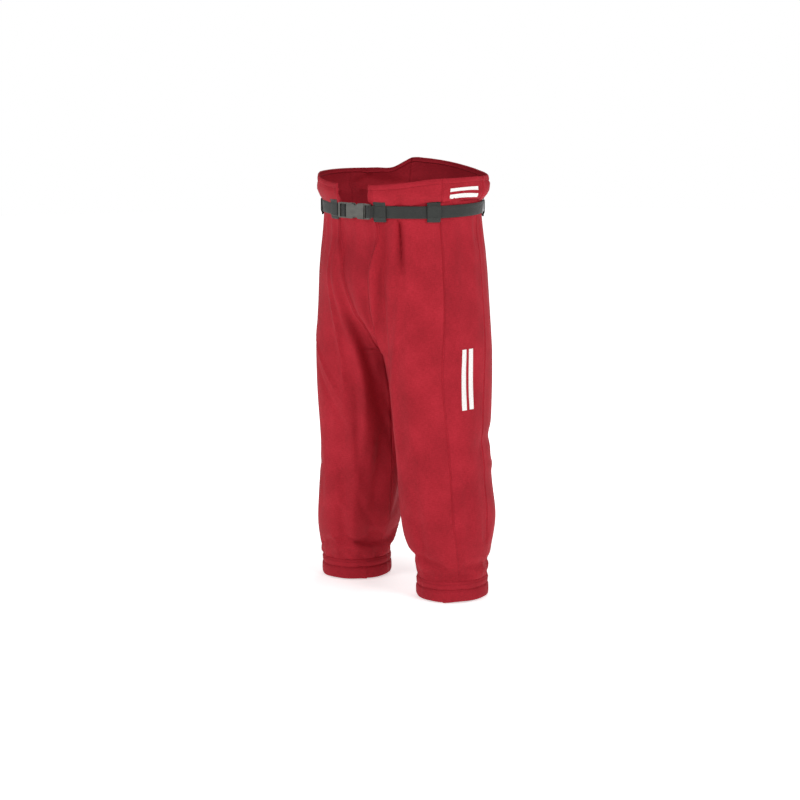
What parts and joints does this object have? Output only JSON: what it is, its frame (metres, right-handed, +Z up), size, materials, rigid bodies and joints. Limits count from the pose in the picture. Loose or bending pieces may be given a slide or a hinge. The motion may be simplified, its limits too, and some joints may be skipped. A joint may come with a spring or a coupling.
{
  "type": "hockey pants",
  "caption": "Knee-length shell pants for ice sports, cinched by a webbing belt in sewn loops with a side-release buckle; open front slot, raised back, gathered elastic cuffs.",
  "frame": {"origin": "centre of the waist, at the middle of the belt's height", "axes": "+Z up through the waist, front of the garment faces -Y, wearer's left is +X"},
  "size_m": [0.3486, 0.2604, 0.728],
  "materials": {
    "shell_fabric": "red woven polyester shell",
    "panel_fabric": "red woven polyester shell",
    "hem_fabric": "folded and stitched red shell",
    "webbing": "charcoal woven webbing",
    "buckle_plastic": "satin moulded grey plastic",
    "cuff_elastic": "knitted elastic"
  },
  "bodies": {
    "hips": {"front_panel_left": "shell_fabric", "front_panel_right": "shell_fabric", "side_panel_left": "panel_fabric", "side_panel_right": "panel_fabric", "seat_panel_left": "shell_fabric", "seat_panel_right": "shell_fabric", "centre_front_panel": "panel_fabric", "centre_back_panel": "panel_fabric", "waist_hem_left": "hem_fabric", "waist_hem_right": "hem_fabric", "waist_hem_back": "hem_fabric", "flap_hem_left": "hem_fabric", "flap_hem_right": "hem_fabric", "belt_webbing": "webbing", "belt_loop_front_left": "webbing", "belt_loop_front_right": "webbing", "belt_loop_side_left": "webbing", "belt_loop_side_right": "webbing", "belt_loop_rear_left": "webbing", "belt_loop_rear_right": "webbing", "belt_loop_back": "webbing", "buckle_housing": "buckle_plastic", "housing_webbing_turn": "webbing"},
    "left_leg": {"leg_front_left": "shell_fabric", "leg_side_left": "panel_fabric", "leg_back_left": "shell_fabric", "leg_gusset_left": "panel_fabric", "cuff_left": "hem_fabric", "cuff_elastic_left": "cuff_elastic"},
    "right_leg": {"leg_front_right": "shell_fabric", "leg_side_right": "panel_fabric", "leg_back_right": "shell_fabric", "leg_gusset_right": "panel_fabric", "cuff_right": "hem_fabric", "cuff_elastic_right": "cuff_elastic"},
    "buckle_insert": {"buckle_insert": "buckle_plastic", "adjuster_webbing_turn": "webbing"},
    "upper_prong": {"buckle_prong_upper": "buckle_plastic"},
    "lower_prong": {"buckle_prong_lower": "buckle_plastic"}
  },
  "joints": [
    {"name": "hip_left", "type": "hinge", "parent": "hips", "child": "left_leg", "pos_m": [0.09, 0, -0.095], "axis": [-1, 0, 0], "range_deg": [-20, 50]},
    {"name": "hip_right", "type": "hinge", "parent": "hips", "child": "right_leg", "pos_m": [-0.09, 0, -0.095], "axis": [-1, 0, 0], "range_deg": [-20, 50]},
    {"name": "buckle_slide", "type": "slide", "parent": "hips", "child": "buckle_insert", "axis": [-1, 0, 0], "range_m": [0, 0.027]},
    {"name": "prong_upper_squeeze", "type": "hinge", "parent": "buckle_insert", "child": "upper_prong", "pos_m": [-0.011, -0.1223, 0.0075], "axis": [0, 1, 0], "range_deg": [0, 8], "stiffness_Nm_per_rad": 0.02},
    {"name": "prong_lower_squeeze", "type": "hinge", "parent": "buckle_insert", "child": "lower_prong", "pos_m": [-0.011, -0.1223, -0.0075], "axis": [0, -1, 0], "range_deg": [0, 8], "stiffness_Nm_per_rad": 0.02}
  ]
}
